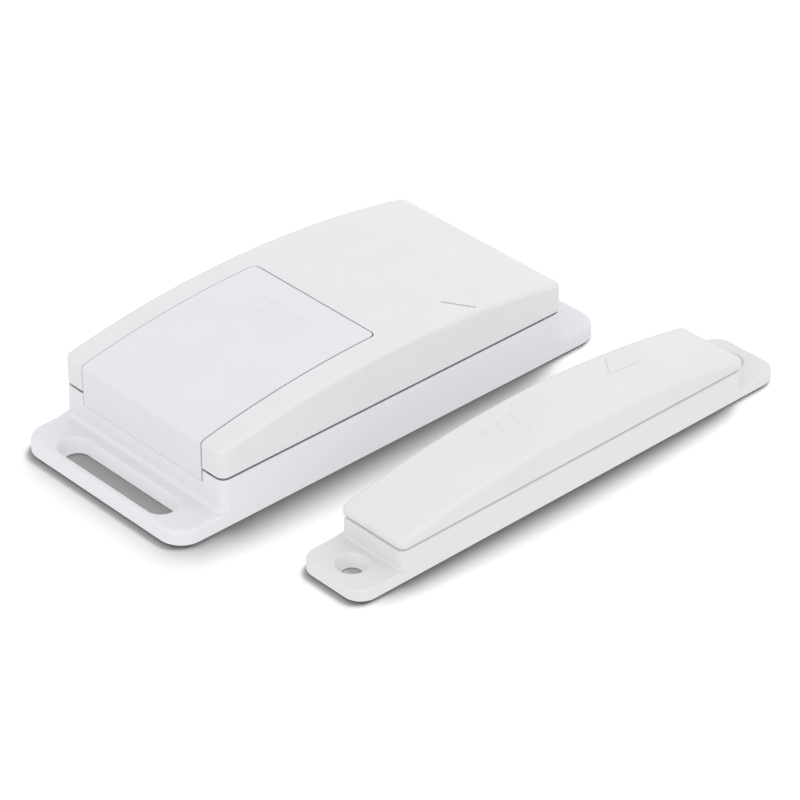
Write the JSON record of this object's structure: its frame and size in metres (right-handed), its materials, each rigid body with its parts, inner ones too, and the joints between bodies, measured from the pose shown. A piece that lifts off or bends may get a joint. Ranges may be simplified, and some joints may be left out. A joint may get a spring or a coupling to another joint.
{
  "type": "door contact sensor",
  "caption": "Battery-powered magnetic door contact: a flanged transmitter with a sliding battery lid and a slim magnet unit with screw ears.",
  "frame": {"origin": "centre of the transmitter's flat mounting face", "axes": "+X along both housings away from the battery lid, +Y from the magnet unit towards the transmitter, +Z out of the mounting surface"},
  "size_m": [0.1061, 0.0699, 0.0183],
  "materials": {
    "white_plastic": "smooth satin moulded white plastic",
    "cell_jacket": "printed metal jacket, left plain",
    "contact_steel": "nickel-plated spring steel",
    "board_laminate": "green solder-masked laminate",
    "screw_steel": "zinc-plated steel",
    "reed_glass": "clear greenish glass",
    "reed_metal": "plated reed wire",
    "black_plastic": "moulded black resin",
    "natural_plastic": "unpainted moulded plastic",
    "capacitor_sleeve": "shrink sleeve",
    "copper_wire": "enamelled copper wire",
    "ferrite": "sintered ferrite, dull dark grey",
    "foam": "closed-cell foam"
  },
  "bodies": {
    "transmitter": {"transmitter_base": "white_plastic", "transmitter_cover": "white_plastic", "battery_cell": "cell_jacket", "battery_spring": "contact_steel", "negative_contact_plate": "contact_steel", "positive_contact_plate": "contact_steel", "circuit_board": "board_laminate", "cover_screw_1": "screw_steel", "cover_screw_2": "screw_steel", "board_screw_1": "screw_steel", "board_screw_2": "screw_steel", "reed_switch_glass": "reed_glass", "reed_blade_front": "reed_metal", "reed_blade_rear": "reed_metal", "tamper_switch_body": "black_plastic", "microcontroller_chip": "black_plastic", "radio_chip": "black_plastic", "crystal_can": "contact_steel", "smoothing_capacitor": "capacitor_sleeve", "antenna_coil": "copper_wire"},
    "lid": {"battery_lid": "white_plastic"},
    "tamper_button": {"tamper_plunger": "natural_plastic"},
    "magnet_unit": {"magnet_base": "white_plastic", "magnet_cover": "white_plastic", "bar_magnet": "ferrite", "magnet_pad": "foam"}
  },
  "joints": [
    {"name": "lid_slide", "type": "slide", "parent": "transmitter", "child": "lid", "axis": [-1, 0, 0], "range_m": [0, 0.042]},
    {"name": "tamper_press", "type": "slide", "parent": "transmitter", "child": "tamper_button", "axis": [0, 0, -1], "range_m": [0, 0.0006], "stiffness_N_per_m": 400},
    {"name": "door_travel", "type": "slide", "parent": "transmitter", "child": "magnet_unit", "axis": [0, 1, 0], "range_m": [-0.07, 0.0123]}
  ]
}
